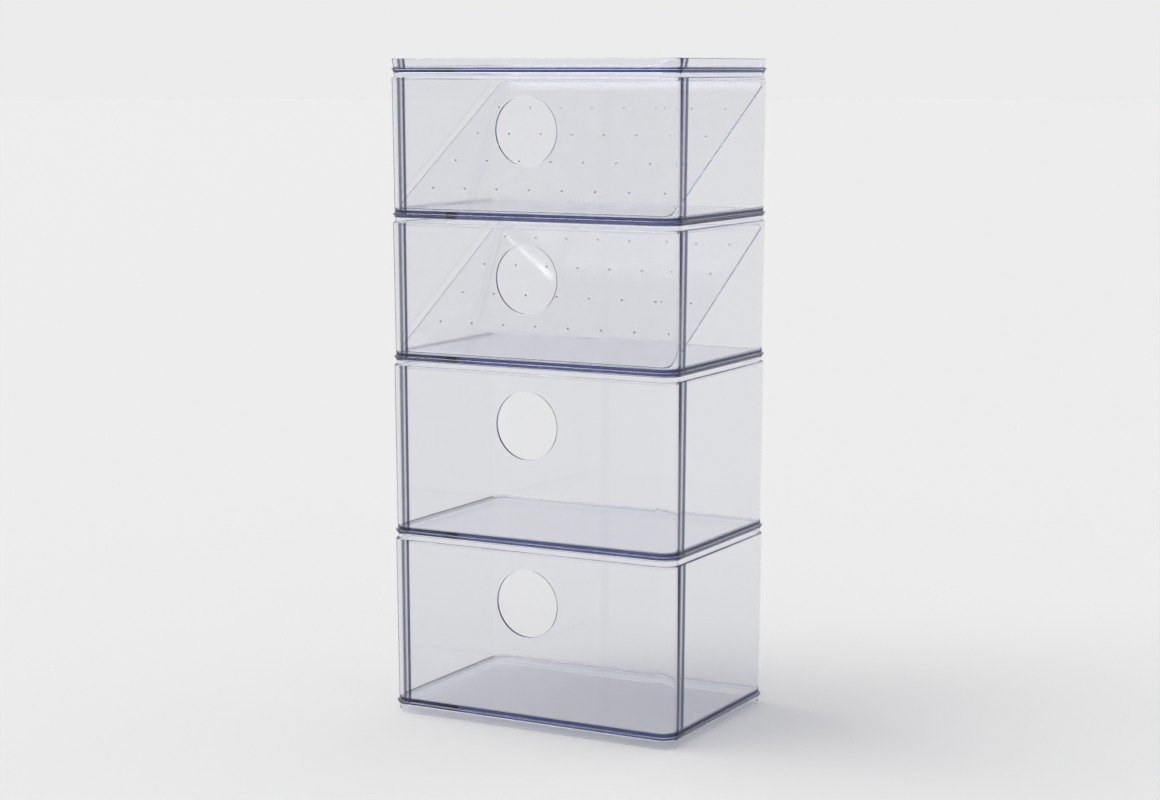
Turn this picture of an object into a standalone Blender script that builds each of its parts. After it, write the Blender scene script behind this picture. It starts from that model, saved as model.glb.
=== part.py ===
"""A tower of four clear stacking shoe boxes with a tray-like lid.

Two deep boxes stand under two shallow ones. Each box is one moulding: an open-top tub whose
foot ring plugs into the mouth of whatever it stands on. The lid has the same foot ring and a
low rim, so a further box can stand on it. Each shallow box holds a slanted perforated shelf
that leans from the front of its floor to the top of its back wall.

Metres, +Z up. The front, with the finger holes, faces -Y, and the long side lies along X. The
origin is on the ground under the middle of the tower.
"""

import math

import bmesh
import bpy
from mathutils import Matrix, Vector

# The whole tower.
WIDTH = 0.340
DEPTH = 0.235
CORNER_RADIUS = 0.021
DEEP_PITCH = 0.1875
SHALLOW_PITCH = 0.1515
LID_HEIGHT = 0.019
GAP = 0.0003

# Section of the moulded base. Heights are above the seat, the plane of the mouth below, and
# insets are measured inwards from the outline of the flange.
PLUG_DEPTH = 0.0035
NECK_HEIGHT = 0.0050
FLANGE_LOW = 0.0076
FLANGE_HIGH = 0.0090
PLUG_INSET = 0.0044
NECK_INSET = 0.0024
SKIRT_INSET = 0.0014
WALL_FOOT_INSET = 0.0020
RIM_INSET = 0.0002
RING_WIDTH = 0.0025
FLANGE_FILLET = 0.0004

# Shell of a box and of the lid.
WALL = 0.0035
INNER_CORNER_RADIUS = 0.0145
FLOOR_TOP = 0.0120
FLOOR_UNDER = 0.0055
LID_FLOOR_TOP = 0.0088
LID_FLOOR_UNDER = 0.0048
FLOOR_FILLET = 0.0030
FILLET_STEPS = 3
CORNER_STEPS = 6

# The finger hole in the front wall of a box.
HOLE_RADIUS = 0.0357
HOLE_BELOW_MOUTH = 0.0545
HOLE_SIDES = 40

# The slanted shelf: its middle line in a box, from the front of the floor to the back wall.
SHELF_THICKNESS = 0.0025
SHELF_HALF_WIDTH = 0.160
SHELF_FRONT = Vector((0, -0.1080, 0.0134))
SHELF_BACK = Vector((0, 0.1128, 0.1454))
SHELF_CORNER = 0.008
VENT_RADIUS = 0.0015
VENT_SIDES = 8
VENT_COLUMNS = 8
VENT_ROWS = 4
VENT_COLUMN_PITCH = 0.0390
VENT_ROW_PITCH = 0.0540
VENT_ROWS_OFF_CENTRE = 0.0076


def clear_plastic(name, colour, roughness):
    """A clear moulded plastic with a faint blue tint."""
    material = bpy.data.materials.new(name)
    material.use_nodes = True
    shader = material.node_tree.nodes["Principled BSDF"]
    shader.inputs["Base Color"].default_value = (*colour, 1)
    shader.inputs["Metallic"].default_value = 0
    shader.inputs["Roughness"].default_value = roughness
    shader.inputs["Transmission Weight"].default_value = 0.9
    shader.inputs["IOR"].default_value = 1.49
    return material


def rounded_outline(half_x, half_y, radius, steps=CORNER_STEPS):
    """Corner points of a rectangle with round corners, anticlockwise from above."""
    points = []
    for turn, (sign_x, sign_y) in enumerate(((1, 1), (-1, 1), (-1, -1), (1, -1))):
        for step in range(steps + 1):
            angle = math.pi / 2 * (turn + step / steps)
            x = sign_x * (half_x - radius) + radius * math.cos(angle)
            y = sign_y * (half_y - radius) + radius * math.sin(angle)
            points.append((x, y))
    return points


def ring_of_verts(mesh, inset, height, radius):
    """One level of a moulding: the flange's outline moved inwards, at a height."""
    outline = rounded_outline(WIDTH / 2 - inset, DEPTH / 2 - inset, radius)
    return [mesh.verts.new((x, y, height)) for x, y in outline]


def moulding(name, section, material):
    """A closed solid whose section is a list of (inset, height, corner radius)."""
    mesh = bmesh.new()
    rings = [ring_of_verts(mesh, *level) for level in section]
    mesh.faces.new(reversed(rings[0]))
    for low, high in zip(rings, rings[1:]):
        for index, corner in enumerate(low):
            after = (index + 1) % len(low)
            mesh.faces.new((corner, low[after], high[after], high[index]))
    mesh.faces.new(rings[-1])
    return mesh_object(name, mesh, material)


def mesh_object(name, mesh, material):
    """Turns a bmesh into an object in the scene."""
    mesh.normal_update()
    data = bpy.data.meshes.new(name)
    mesh.to_mesh(data)
    mesh.free()
    if material is not None:
        data.materials.append(material)
    placed = bpy.data.objects.new(name, data)
    bpy.context.scene.collection.objects.link(placed)
    return placed


def base_section(floor_under):
    """Section from under the floor, round the foot ring and flange, to the foot of the wall."""
    ring_inner = PLUG_INSET + RING_WIDTH
    section = [
        (ring_inner, floor_under),
        (ring_inner, -PLUG_DEPTH),
        (PLUG_INSET, -PLUG_DEPTH),
        (PLUG_INSET, 0),
        (NECK_INSET, 0),
        (NECK_INSET, NECK_HEIGHT),
        (SKIRT_INSET, NECK_HEIGHT),
        (SKIRT_INSET, FLANGE_LOW - FLANGE_FILLET),
        (0, FLANGE_LOW),
        (0, FLANGE_HIGH),
        (WALL_FOOT_INSET, FLANGE_HIGH + FLANGE_FILLET),
    ]
    return [(inset, height, CORNER_RADIUS - inset) for inset, height in section]


def shell_section(floor_top, mouth):
    """Section of the wall: up its outside, over the rim, down its inside and onto the floor."""
    foot_inner = WALL_FOOT_INSET + WALL
    section = [
        (RIM_INSET, mouth, CORNER_RADIUS - RIM_INSET),
        (RIM_INSET + WALL, mouth, INNER_CORNER_RADIUS),
    ]
    for step in range(FILLET_STEPS + 1):
        angle = math.pi / 2 * step / FILLET_STEPS
        inwards = FLOOR_FILLET * (1 - math.cos(angle))
        height = floor_top + FLOOR_FILLET * (1 - math.sin(angle))
        section.append((foot_inner + inwards, height, INNER_CORNER_RADIUS - inwards))
    return section


def hole_cutter(name, mouth):
    """A cylinder through the front wall, where the finger hole is."""
    mesh = bmesh.new()
    bmesh.ops.create_cone(
        mesh,
        cap_ends=True,
        segments=HOLE_SIDES,
        radius1=HOLE_RADIUS,
        radius2=HOLE_RADIUS,
        depth=10 * WALL,
        matrix=Matrix.Rotation(math.pi / 2, 4, "X"),
    )
    cutter = mesh_object(name + "_hole_cutter", mesh, None)
    cutter.location = (0, -DEPTH / 2, mouth - HOLE_BELOW_MOUTH)
    cutter.hide_render = True
    cutter.display_type = "WIRE"
    return cutter


def cut(target, cutter):
    """Takes the cutter away from the target, and keeps the cutter in place beside it."""
    cutter.parent = target
    boolean = target.modifiers.new("cut", "BOOLEAN")
    boolean.operation = "DIFFERENCE"
    boolean.solver = "EXACT"
    boolean.object = cutter


def stacking_box(name, seat, pitch, material):
    """One open-top box with a finger hole, standing with its seat at a height."""
    mouth = pitch - GAP
    section = base_section(FLOOR_UNDER) + shell_section(FLOOR_TOP, mouth)
    box = moulding(name, section, material)
    cut(box, hole_cutter(name, pitch))
    box.location.z = seat
    return box


def tray_lid(name, seat, material):
    """The lid: the base of a box with a low rim instead of walls."""
    section = base_section(LID_FLOOR_UNDER) + shell_section(LID_FLOOR_TOP, LID_HEIGHT)
    lid = moulding(name, section, material)
    lid.location.z = seat
    return lid


def vent_cutter(name, row_shift):
    """The grid of small round vents, as prisms that stand through the shelf."""
    mesh = bmesh.new()
    for row in range(VENT_ROWS):
        for column in range(VENT_COLUMNS):
            x = (column - (VENT_COLUMNS - 1) / 2) * VENT_COLUMN_PITCH
            y = (row - (VENT_ROWS - 1) / 2) * VENT_ROW_PITCH + row_shift
            bmesh.ops.create_cone(
                mesh,
                cap_ends=True,
                segments=VENT_SIDES,
                radius1=VENT_RADIUS,
                radius2=VENT_RADIUS,
                depth=3 * SHELF_THICKNESS,
                matrix=Matrix.Translation((x, y, 0)),
            )
    cutter = mesh_object(name + "_vent_cutter", mesh, None)
    cutter.hide_render = True
    cutter.display_type = "WIRE"
    return cutter


def slanted_shelf(name, seat, row_shift, material):
    """A flat perforated sheet that leans in a shallow box."""
    run = SHELF_BACK - SHELF_FRONT
    mesh = bmesh.new()
    outline = rounded_outline(SHELF_HALF_WIDTH, run.length / 2, SHELF_CORNER)
    low = [mesh.verts.new((x, y, -SHELF_THICKNESS / 2)) for x, y in outline]
    high = [mesh.verts.new((x, y, SHELF_THICKNESS / 2)) for x, y in outline]
    mesh.faces.new(reversed(low))
    mesh.faces.new(high)
    for index, corner in enumerate(low):
        after = (index + 1) % len(low)
        mesh.faces.new((corner, low[after], high[after], high[index]))
    shelf = mesh_object(name, mesh, material)
    cut(shelf, vent_cutter(name, row_shift))
    shelf.location = (SHELF_FRONT + SHELF_BACK) / 2 + Vector((0, 0, seat))
    shelf.rotation_euler.x = math.atan2(run.z, run.y)
    return shelf


def build():
    for old in list(bpy.data.objects):
        bpy.data.objects.remove(old)
    boxes = clear_plastic("clear_box_plastic", (0.80, 0.83, 0.92), 0.05)
    cover = clear_plastic("clear_lid_plastic", (0.78, 0.81, 0.92), 0.05)
    shelves = clear_plastic("clear_shelf_plastic", (0.86, 0.87, 0.91), 0.12)

    seat = PLUG_DEPTH
    seats = {}
    for name, pitch in (
        ("lower_deep_box", DEEP_PITCH),
        ("upper_deep_box", DEEP_PITCH),
        ("lower_shallow_box", SHALLOW_PITCH),
        ("upper_shallow_box", SHALLOW_PITCH),
    ):
        stacking_box(name, seat, pitch, boxes)
        seats[name] = seat
        seat += pitch
    tray_lid("lid", seat, cover)
    slanted_shelf("lower_shelf", seats["lower_shallow_box"], VENT_ROWS_OFF_CENTRE, shelves)
    slanted_shelf("upper_shelf", seats["upper_shallow_box"], -VENT_ROWS_OFF_CENTRE, shelves)


build()
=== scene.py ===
"""The looks of the clear stacking shoe boxes: fine meshes, clear blue-tinted plastic, a pale studio.

Everything is in metres, in the frame of the CAD model. Each box, the lid and each shelf is built
again with round edges, in the place that its CAD solid holds, and rides on the same body.
"""

import math

import bmesh
import bpy
from mathutils import Matrix, Vector


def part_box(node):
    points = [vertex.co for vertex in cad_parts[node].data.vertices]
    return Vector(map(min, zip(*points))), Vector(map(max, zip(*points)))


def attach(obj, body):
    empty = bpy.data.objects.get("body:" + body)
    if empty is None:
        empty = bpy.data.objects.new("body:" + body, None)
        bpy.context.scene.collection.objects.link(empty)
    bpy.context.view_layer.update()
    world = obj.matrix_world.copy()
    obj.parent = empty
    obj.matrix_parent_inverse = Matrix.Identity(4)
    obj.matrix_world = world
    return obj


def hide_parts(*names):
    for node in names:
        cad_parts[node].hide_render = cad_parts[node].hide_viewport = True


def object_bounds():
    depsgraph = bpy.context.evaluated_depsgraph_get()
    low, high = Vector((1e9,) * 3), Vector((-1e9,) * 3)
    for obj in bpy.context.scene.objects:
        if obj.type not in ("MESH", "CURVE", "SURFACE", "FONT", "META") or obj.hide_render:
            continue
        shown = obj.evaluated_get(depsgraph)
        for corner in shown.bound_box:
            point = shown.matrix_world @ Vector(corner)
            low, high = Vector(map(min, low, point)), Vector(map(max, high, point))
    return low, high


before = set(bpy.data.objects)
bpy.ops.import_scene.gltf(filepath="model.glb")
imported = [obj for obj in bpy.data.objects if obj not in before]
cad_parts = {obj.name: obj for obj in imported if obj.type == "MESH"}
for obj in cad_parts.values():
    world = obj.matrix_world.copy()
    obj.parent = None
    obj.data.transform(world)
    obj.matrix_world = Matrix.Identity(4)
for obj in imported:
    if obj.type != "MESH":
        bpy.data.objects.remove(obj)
cad_low, cad_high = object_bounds()

# Section of a moulding. Heights are above the seat, the plane of the mouth below, and insets
# are measured inwards from the outline of the flange.
PLUG_DEPTH = 0.0035
NECK_HEIGHT = 0.0050
FLANGE_LOW = 0.0076
FLANGE_HIGH = 0.0090
FLANGE_FILLET = 0.0004
PLUG_INSET = 0.0044
NECK_INSET = 0.0024
SKIRT_INSET = 0.0014
WALL_FOOT_INSET = 0.0020
RIM_INSET = 0.0002
RING_WIDTH = 0.0025
WALL = 0.0035
FLOOR_TOP = 0.0120
FLOOR_UNDER = 0.0055
LID_FLOOR_TOP = 0.0088
LID_FLOOR_UNDER = 0.0048
CORNER_RADIUS = 0.021
INNER_CORNER_RADIUS = 0.0145
CORNER_STEPS = 14

# Roundness of the edges of a moulding, and the flat run that its section keeps on each floor.
EDGE_STEPS = 4
FLOOR_FILLET = 0.0030
RIM_EDGE = 0.0011
UNDERSIDE_FILLET = 0.0012
RING_INNER_EDGE = 0.0006
RING_OUTER_EDGE = 0.0008
SEAT_EDGE = 0.0003
NECK_FILLET = 0.0004
FLANGE_EDGE = 0.0005
WALL_FOOT_FILLET = 0.0006
UNDERSIDE_RUN = 0.006
FLOOR_RUN = 0.008
SHARP_ANGLE = math.radians(35)

# Painted shade: navy lines painted into the base colour where the front corners run into the walls,
# standing in for the dark internal reflections that clear plastic shows there. The tint of the last
# points of the arc, then of points at a distance past its end (half of it on the front wall). A
# corner's number is its turn in rounded_outline.
PAINTED_SHADE_COLOUR = (0.015, 0.019, 0.060)
ARC_PAINTED_SHADE = (0.9, 1.0, 0.5)
WALL_PAINTED_SHADE = ((0.0022, 0.4), (0.0036, 1.0), (0.0086, 1.0), (0.0106, 0.0))
FRONT_LEFT = 2
FRONT_RIGHT = 3

# Only points less far in than this are outer points, which carry the painted shade lines.
DEEPEST_PAINTED_SHADE_INSET = 0.0021

# Finger hole. Past its rounded edges the cutter flares out to clear them.
HOLE_RADIUS = 0.0357
HOLE_BELOW_MOUTH = 0.0542
HOLE_SIDES = 96
HOLE_EDGE = 0.0006
HOLE_FLARE = 0.0024
HOLE_FLARE_GAP = 0.0004

# Slanted shelf.
SHELF_THICKNESS = 0.0025
SHELF_EDGE = 0.0006
SHELF_CORNER = 0.008
SHELF_RUN = 0.004
SHELF_FRONT = Vector((0, -0.1080, 0.0134))
SHELF_BACK = Vector((0, 0.1128, 0.1454))
VENT_RADIUS = 0.0015
VENT_SIDES = 20
VENT_COLUMNS = 8
VENT_ROWS = 4
VENT_COLUMN_PITCH = 0.0390
VENT_ROW_PITCH = 0.0540
VENT_ROWS_OFF_CENTRE = 0.0076

# Camera and studio.
CAMERA_AZIMUTH = math.radians(28.46)
CAMERA_DISTANCE = 2.586
CAMERA_HEIGHT = 0.687
CAMERA_PITCH = math.radians(7.70)
CAMERA_LENS = 75.4
SENSOR_WIDTH = 36
BACKGROUND = (0.838, 0.838, 0.838)
FLOOR_COLOUR = (0.63, 0.63, 0.63)
FLOOR_RADIUS = 60
FLOOR_SIDES = 96
SUN_ENERGY = 2.1
SUN_ANGLE = math.radians(60)
SUN_DIRECTION = Vector((0.62, 0.22, -0.75))
LIGHT_BOUNCES = 96
SHADOW_BOUNCES = 48

# The plastic. Its surface is almost colourless; the colour and the density (per metre) of its
# depth turn long ways along a plate navy.
BOX_SURFACE = (0.958, 0.958, 0.962)
SHELF_SURFACE = (0.95, 0.95, 0.955)
BOX_DEPTH = (0.45, 0.49, 0.70)
LID_DEPTH = (0.33, 0.39, 0.72)
BOX_DENSITY = 20
SHELF_DENSITY = 8
SHADOW_COLOUR = (0.83, 0.83, 0.835)
BOX_ROUGHNESS = (0.01, 0.05)
SHELF_ROUGHNESS = (0.03, 0.12)
REFRACTION = 1.49
SCUFF_SCALE = 38
SCUFF_DETAIL = 6
SCUFF_RANGE = (0.35, 0.75)
WAVE_SCALE = 9
WAVE_DETAIL = 1
WAVE_STRENGTH = 0.10
WAVE_HEIGHT = 0.001


# ---------------------------------------------------------------- meshes


def rounded_path(corners):
    """A section path whose corners (inset, height, radius) are rounded by arcs."""
    points = [Vector((corners[0][0], corners[0][1]))]
    for before, here, after in zip(corners, corners[1:], corners[2:]):
        corner = Vector((here[0], here[1]))
        back = (Vector((before[0], before[1])) - corner).normalized()
        ahead = (Vector((after[0], after[1])) - corner).normalized()
        half = back.angle(ahead) / 2
        reach = here[2] / math.tan(half)
        centre = corner + (back + ahead).normalized() * (here[2] / math.sin(half))
        start = corner + back * reach - centre
        sweep = start.angle_signed(corner + ahead * reach - centre)
        for step in range(EDGE_STEPS + 1):
            turned = Matrix.Rotation(-sweep * step / EDGE_STEPS, 2) @ start
            points.append(centre + turned)
    points.append(Vector((corners[-1][0], corners[-1][1])))
    return points


def rounded_outline(half_x, half_y, radius):
    """Corner points of a rectangle with round corners, anticlockwise from above.

    Past each front corner's end come the few points that its painted shade line needs on the wall.
    """
    points = []
    for turn, (sign_x, sign_y) in enumerate(((1, 1), (-1, 1), (-1, -1), (1, -1))):
        for step in range(CORNER_STEPS + 1):
            angle = math.pi / 2 * (turn + step / CORNER_STEPS)
            x = sign_x * (half_x - radius) + radius * math.cos(angle)
            y = sign_y * (half_y - radius) + radius * math.sin(angle)
            points.append((x, y))
        if turn == FRONT_LEFT:
            points.extend((radius - half_x + beyond / 2, -half_y) for beyond, _ in WALL_PAINTED_SHADE)
        if turn == FRONT_RIGHT:
            points.extend((half_x, radius - half_y + beyond) for beyond, _ in WALL_PAINTED_SHADE)
    return points


def painted_corner_shade():
    """How strongly each outline point is painted navy: painted shade lines where the front corners
    run into the walls.
    """
    plain = [0.0] * (CORNER_STEPS + 1)
    lined = plain[: -len(ARC_PAINTED_SHADE)] + list(ARC_PAINTED_SHADE)
    flat = [strength for _, strength in WALL_PAINTED_SHADE]
    return plain + plain + lined + flat + lined + flat


def lofted(name, half_x, half_y, section, painted_shade_above=None):
    """A closed solid through round-cornered outlines, one for each (inset, height, radius).

    The outer points above the given height carry the painted shade lines: navy painted into their
    colour.
    """
    mesh = bmesh.new()
    painted_shade_lines = mesh.verts.layers.float.new("painted_shade_lines")
    painted_shade_tint = painted_corner_shade()
    rings = []
    for inset, height, radius in section:
        outline = rounded_outline(half_x - inset, half_y - inset, radius)
        ring = [mesh.verts.new((x, y, height)) for x, y in outline]
        # Painted shade: outer points above that height take the strengths of the painted navy lines.
        if painted_shade_above is not None and height > painted_shade_above and inset < DEEPEST_PAINTED_SHADE_INSET:
            for vert, strength in zip(ring, painted_shade_tint):
                vert[painted_shade_lines] = strength
        rings.append(ring)
    mesh.faces.new(reversed(rings[0]))
    for low, high in zip(rings, rings[1:]):
        for index, vert in enumerate(low):
            after = (index + 1) % len(low)
            mesh.faces.new((vert, low[after], high[after], high[index]))
    mesh.faces.new(rings[-1])
    mesh.normal_update()
    data = bpy.data.meshes.new(name)
    mesh.to_mesh(data)
    mesh.free()
    return link(name, data)


def link(name, data):
    placed = bpy.data.objects.new(name, data)
    bpy.context.scene.collection.objects.link(placed)
    return placed


def cut_away(target, cutter):
    """Takes the cutter away from the target, for good, and deletes the cutter."""
    boolean = target.modifiers.new("cut", "BOOLEAN")
    boolean.operation = "DIFFERENCE"
    boolean.solver = "EXACT"
    boolean.object = cutter
    apply_modifiers(target)
    bpy.data.objects.remove(cutter)


def apply_modifiers(target):
    graph = bpy.context.evaluated_depsgraph_get()
    data = bpy.data.meshes.new_from_object(target.evaluated_get(graph))
    target.modifiers.clear()
    target.data = data


def smooth(target):
    """Smooth round edges beside flat faces that stay flat."""
    target.data.shade_smooth()
    target.data.set_sharp_from_angle(angle=SHARP_ANGLE)
    weighted = target.modifiers.new("weighted", "WEIGHTED_NORMAL")
    weighted.mode = "FACE_AREA"
    weighted.weight = 100
    weighted.keep_sharp = True
    apply_modifiers(target)


def base_corners(floor_under):
    """Section corners from under the floor, round the foot ring and flange, to the wall's foot."""
    ring_inner = PLUG_INSET + RING_WIDTH
    return [
        (ring_inner + UNDERSIDE_RUN, floor_under, 0),
        (ring_inner, floor_under, UNDERSIDE_FILLET),
        (ring_inner, -PLUG_DEPTH, RING_INNER_EDGE),
        (PLUG_INSET, -PLUG_DEPTH, RING_OUTER_EDGE),
        (PLUG_INSET, 0, SEAT_EDGE),
        (NECK_INSET, 0, SEAT_EDGE),
        (NECK_INSET, NECK_HEIGHT, NECK_FILLET),
        (SKIRT_INSET, NECK_HEIGHT, FLANGE_EDGE),
        (SKIRT_INSET, FLANGE_LOW - FLANGE_FILLET, FLANGE_EDGE),
        (0, FLANGE_LOW, FLANGE_EDGE),
        (0, FLANGE_HIGH, FLANGE_EDGE),
        (WALL_FOOT_INSET, FLANGE_HIGH + FLANGE_FILLET, WALL_FOOT_FILLET),
    ]


def shell_section(floor_under, floor_top, mouth):
    """The whole section: under the floor, up the outside, over the rim, down to the floor."""
    foot_inner = WALL_FOOT_INSET + WALL
    mid_rim = (RIM_INSET + WALL / 2, mouth, 0)
    outside = base_corners(floor_under) + [(RIM_INSET, mouth, RIM_EDGE), mid_rim]
    inside = [
        mid_rim,
        (RIM_INSET + WALL, mouth, RIM_EDGE),
        (foot_inner, floor_top, FLOOR_FILLET),
        (foot_inner + FLOOR_RUN, floor_top, 0),
    ]
    section = [(inset, height, CORNER_RADIUS - inset) for inset, height in rounded_path(outside)]
    for inset, height in rounded_path(inside)[1:]:
        outwards = max(RIM_INSET + WALL - inset, 0)
        inwards = max(inset - foot_inner, 0)
        section.append((inset, height, INNER_CORNER_RADIUS + outwards - inwards))
    return section


def moulding(name, node, floor_under, floor_top):
    """The box or lid that a CAD node holds, with its seat at the world height it has there."""
    low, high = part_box(node)
    seat = low.z + PLUG_DEPTH
    half_x = (high.x - low.x) / 2
    half_y = (high.y - low.y) / 2
    mouth = high.z - seat
    section = shell_section(floor_under, floor_top, mouth)
    made = lofted(name, half_x, half_y, section, painted_shade_above=FLANGE_HIGH)
    made.data.transform(Matrix.Translation((0, 0, seat)))
    return made, half_y, mouth, seat


def finger_hole_cutter(half_y, mouth, seat):
    """A turned plug with flared ends, square to the leaning front wall."""
    rise = mouth - FLANGE_HIGH - FLANGE_FILLET
    lean = math.atan2(WALL_FOOT_INSET - RIM_INSET, rise)
    inset = RIM_INSET + math.tan(lean) * HOLE_BELOW_MOUTH
    mesh = bmesh.new()
    profile = []
    for side in (-1, 1):
        arc = []
        for step in range(EDGE_STEPS + 1):
            angle = math.pi / 2 * step / EDGE_STEPS
            radius = HOLE_RADIUS + HOLE_EDGE * (1 - math.cos(angle))
            across = WALL / 2 - HOLE_EDGE + HOLE_EDGE * math.sin(angle)
            arc.append((radius, side * across))
        arc.append((HOLE_RADIUS + HOLE_FLARE, side * (WALL / 2 + HOLE_FLARE_GAP)))
        arc.append((HOLE_RADIUS + HOLE_FLARE, side * 2 * WALL))
        profile.extend(reversed(arc) if side < 0 else arc)
    rings = []
    for radius, across in profile:
        ring = []
        for index in range(HOLE_SIDES):
            angle = 2 * math.pi * index / HOLE_SIDES
            x = radius * math.cos(angle)
            z = radius * math.sin(angle)
            ring.append(mesh.verts.new((x, across, z)))
        rings.append(ring)
    mesh.faces.new(rings[0])
    for near, far in zip(rings, rings[1:]):
        for index, vert in enumerate(near):
            after = (index + 1) % HOLE_SIDES
            mesh.faces.new((vert, far[index], far[after], near[after]))
    mesh.faces.new(reversed(rings[-1]))
    bmesh.ops.recalc_face_normals(mesh, faces=mesh.faces)
    data = bpy.data.meshes.new("finger_hole")
    mesh.to_mesh(data)
    mesh.free()
    cutter = link("finger_hole", data)
    middle = -half_y + inset + WALL / 2
    place = Matrix.Translation((0, middle, seat + mouth - HOLE_BELOW_MOUTH))
    cutter.matrix_world = place @ Matrix.Rotation(lean, 4, "X")
    return cutter


def stacking_box(name, node, body, material):
    made, half_y, mouth, seat = moulding(name, node, FLOOR_UNDER, FLOOR_TOP)
    cut_away(made, finger_hole_cutter(half_y, mouth, seat))
    finish_piece(made, node, body, material)


def tray_lid(name, node, body, material):
    made = moulding(name, node, LID_FLOOR_UNDER, LID_FLOOR_TOP)[0]
    finish_piece(made, node, body, material)


def vent_cutter(row_shift):
    """The grid of small round vents, as prisms that stand through the shelf."""
    mesh = bmesh.new()
    for row in range(VENT_ROWS):
        for column in range(VENT_COLUMNS):
            x = (column - (VENT_COLUMNS - 1) / 2) * VENT_COLUMN_PITCH
            y = (row - (VENT_ROWS - 1) / 2) * VENT_ROW_PITCH + row_shift
            bmesh.ops.create_cone(
                mesh,
                cap_ends=True,
                segments=VENT_SIDES,
                radius1=VENT_RADIUS,
                radius2=VENT_RADIUS,
                depth=3 * SHELF_THICKNESS,
                matrix=Matrix.Translation((x, y, 0)),
            )
    data = bpy.data.meshes.new("vents")
    mesh.to_mesh(data)
    mesh.free()
    return link("vents", data)


def slanted_shelf(name, node, holder, row_shift, body, material):
    """The vented sheet that leans in a shallow box, from its floor to its back wall."""
    low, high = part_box(node)
    run = SHELF_BACK - SHELF_FRONT
    half = SHELF_THICKNESS / 2
    section = rounded_path(
        [
            (SHELF_RUN, -half, 0),
            (0, -half, SHELF_EDGE),
            (0, half, SHELF_EDGE),
            (SHELF_RUN, half, 0),
        ]
    )
    sheet = [(inset, height, SHELF_CORNER - inset) for inset, height in section]
    made = lofted(name, (high.x - low.x) / 2, run.length / 2, sheet)
    cut_away(made, vent_cutter(row_shift))
    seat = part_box(holder)[0].z + PLUG_DEPTH
    middle = (SHELF_FRONT + SHELF_BACK) / 2 + Vector((0, 0, seat))
    lean = Matrix.Rotation(math.atan2(run.z, run.y), 4, "X")
    made.data.transform(Matrix.Translation(middle) @ lean)
    finish_piece(made, node, body, material)


def finish_piece(made, node, body, material):
    """Shades a piece, gives it its plastic and puts it in the place of its CAD node."""
    smooth(made)
    made.data.materials.clear()
    made.data.materials.append(material)
    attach(made, body)
    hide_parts(node)


# ---------------------------------------------------------------- materials


def clear_plastic(name, surface, absorption, density, roughness):
    """Clear moulded plastic, tinted by its depth, with painted shade: navy lines painted into its
    base colour where its mesh marks them.
    """
    material = bpy.data.materials.new(name)
    material.use_nodes = True
    nodes = material.node_tree.nodes
    links = material.node_tree.links
    shader = nodes["Principled BSDF"]
    output = nodes["Material Output"]
    # Painted shade: the mesh's marks mix navy into the base colour, as dark lines of internal
    # reflection.
    painted_shade_reader = nodes.new("ShaderNodeAttribute")
    painted_shade_reader.attribute_name = "painted_shade_lines"
    painted_shade_tint = nodes.new("ShaderNodeMix")
    painted_shade_tint.data_type = "RGBA"
    painted_shade_tint.inputs["A"].default_value = (*surface, 1)
    painted_shade_tint.inputs["B"].default_value = (*PAINTED_SHADE_COLOUR, 1)
    links.new(painted_shade_reader.outputs["Fac"], painted_shade_tint.inputs["Factor"])
    links.new(painted_shade_tint.outputs["Result"], shader.inputs["Base Color"])
    shader.inputs["Transmission Weight"].default_value = 1
    shader.inputs["IOR"].default_value = REFRACTION

    place = nodes.new("ShaderNodeTexCoord")
    scuffs = nodes.new("ShaderNodeTexNoise")
    scuffs.inputs["Scale"].default_value = SCUFF_SCALE
    scuffs.inputs["Detail"].default_value = SCUFF_DETAIL
    links.new(place.outputs["Object"], scuffs.inputs["Vector"])
    spread = nodes.new("ShaderNodeMapRange")
    spread.inputs["From Min"].default_value = SCUFF_RANGE[0]
    spread.inputs["From Max"].default_value = SCUFF_RANGE[1]
    spread.inputs["To Min"].default_value = roughness[0]
    spread.inputs["To Max"].default_value = roughness[1]
    links.new(scuffs.outputs["Fac"], spread.inputs["Value"])
    links.new(spread.outputs["Result"], shader.inputs["Roughness"])

    waves = nodes.new("ShaderNodeTexNoise")
    waves.inputs["Scale"].default_value = WAVE_SCALE
    waves.inputs["Detail"].default_value = WAVE_DETAIL
    links.new(place.outputs["Object"], waves.inputs["Vector"])
    bump = nodes.new("ShaderNodeBump")
    bump.inputs["Strength"].default_value = WAVE_STRENGTH
    bump.inputs["Distance"].default_value = WAVE_HEIGHT
    links.new(waves.outputs["Fac"], bump.inputs["Height"])
    links.new(bump.outputs["Normal"], shader.inputs["Normal"])

    lamp_rays = nodes.new("ShaderNodeLightPath")
    clear = nodes.new("ShaderNodeBsdfTransparent")
    clear.inputs["Color"].default_value = (*SHADOW_COLOUR, 1)
    mix = nodes.new("ShaderNodeMixShader")
    links.new(lamp_rays.outputs["Is Shadow Ray"], mix.inputs["Fac"])
    links.new(shader.outputs["BSDF"], mix.inputs[1])
    links.new(clear.outputs["BSDF"], mix.inputs[2])
    links.new(mix.outputs["Shader"], output.inputs["Surface"])

    depth = nodes.new("ShaderNodeVolumeAbsorption")
    depth.inputs["Color"].default_value = (*absorption, 1)
    depth.inputs["Density"].default_value = density
    links.new(depth.outputs["Volume"], output.inputs["Volume"])
    return material


def paper(name, colour):
    """The matt pale surface of the studio floor."""
    material = bpy.data.materials.new(name)
    material.use_nodes = True
    nodes = material.node_tree.nodes
    shader = nodes["Principled BSDF"]
    shader.inputs["Base Color"].default_value = (*colour, 1)
    shader.inputs["Roughness"].default_value = 0.9
    shader.inputs["Specular IOR Level"].default_value = 0.1
    return material


# ---------------------------------------------------------------- studio


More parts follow.
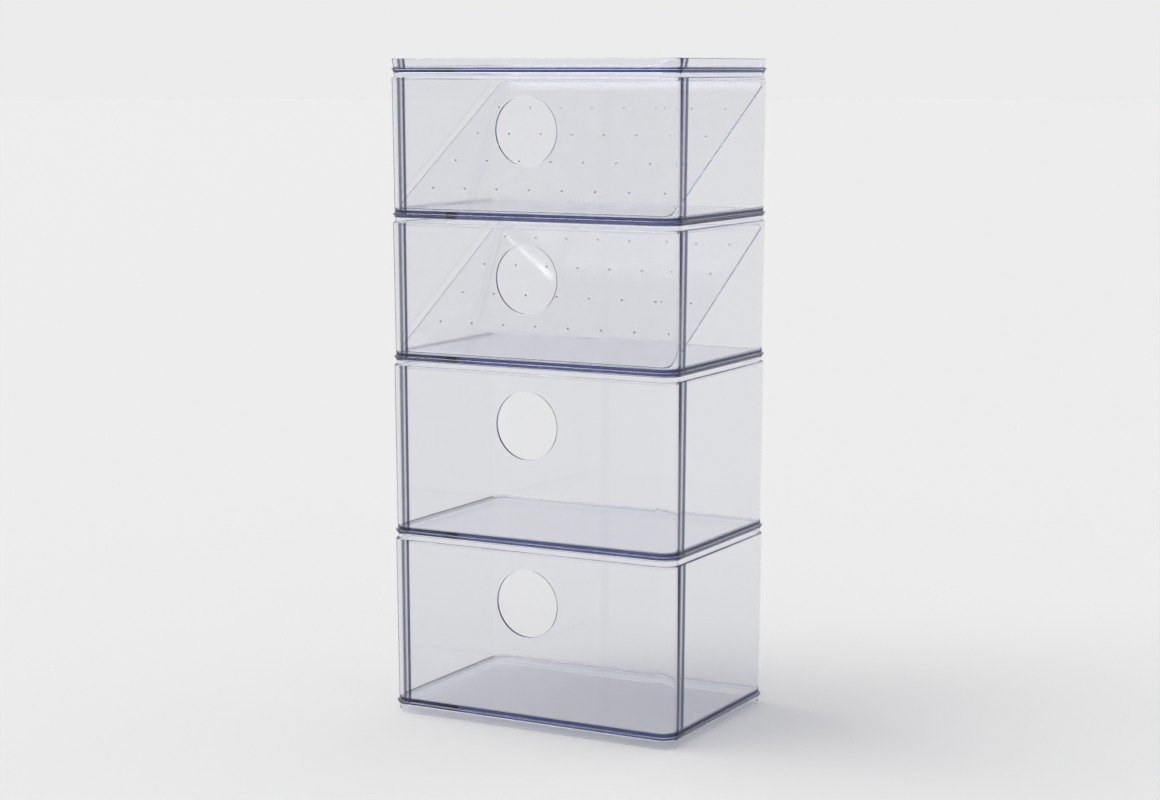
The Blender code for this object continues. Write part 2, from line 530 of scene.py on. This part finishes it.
def studio():
    scene = bpy.context.scene
    scene.view_settings.view_transform = "Standard"
    scene.cycles.max_bounces = LIGHT_BOUNCES
    scene.cycles.transmission_bounces = LIGHT_BOUNCES
    scene.cycles.glossy_bounces = LIGHT_BOUNCES
    scene.cycles.transparent_max_bounces = SHADOW_BOUNCES

    bpy.ops.mesh.primitive_circle_add(
        vertices=FLOOR_SIDES, radius=FLOOR_RADIUS, fill_type="NGON"
    )
    floor = bpy.context.object
    floor.name = "studio_floor"
    floor.data.materials.append(paper("studio_paper", FLOOR_COLOUR))
    floor.location.z = cad_low.z

    world = bpy.data.worlds.new("studio")
    scene.world = world
    world.use_nodes = True
    sky = world.node_tree.nodes["Background"]
    sky.inputs["Color"].default_value = (*BACKGROUND, 1)
    sky.inputs["Strength"].default_value = 1

    sun = bpy.data.lights.new("key", "SUN")
    sun.energy = SUN_ENERGY
    sun.angle = SUN_ANGLE
    key = bpy.data.objects.new("key", sun)
    scene.collection.objects.link(key)
    key.rotation_euler = SUN_DIRECTION.to_track_quat("-Z", "Y").to_euler()


def camera():
    data = bpy.data.cameras.new("camera")
    data.lens = CAMERA_LENS
    data.sensor_width = SENSOR_WIDTH
    view = bpy.data.objects.new("camera", data)
    bpy.context.scene.collection.objects.link(view)
    away = Vector((math.sin(CAMERA_AZIMUTH), -math.cos(CAMERA_AZIMUTH), 0))
    view.location = away * CAMERA_DISTANCE + Vector((0, 0, CAMERA_HEIGHT + cad_low.z))
    look = -away * math.cos(CAMERA_PITCH) - Vector((0, 0, math.sin(CAMERA_PITCH)))
    view.rotation_euler = look.to_track_quat("-Z", "Y").to_euler()
    bpy.context.scene.camera = view


camera()
studio()
box_plastic = clear_plastic("box_look", BOX_SURFACE, BOX_DEPTH, BOX_DENSITY, BOX_ROUGHNESS)
lid_plastic = clear_plastic("lid_look", BOX_SURFACE, LID_DEPTH, BOX_DENSITY, BOX_ROUGHNESS)
shelf_plastic = clear_plastic("shelf_look", SHELF_SURFACE, BOX_DEPTH, SHELF_DENSITY, SHELF_ROUGHNESS)
stacking_box("lower_deep_shell", "lower_deep_box", "bottom_box", box_plastic)
stacking_box("upper_deep_shell", "upper_deep_box", "second_box", box_plastic)
stacking_box("lower_shallow_shell", "lower_shallow_box", "third_box", box_plastic)
stacking_box("upper_shallow_shell", "upper_shallow_box", "top_box", box_plastic)
tray_lid("lid_shell", "lid", "lid", lid_plastic)
for name, holder, shift in (
    ("lower_shelf", "lower_shallow_box", VENT_ROWS_OFF_CENTRE),
    ("upper_shelf", "upper_shallow_box", -VENT_ROWS_OFF_CENTRE),
):
    slanted_shelf(name + "_sheet", name, holder, shift, name, shelf_plastic)
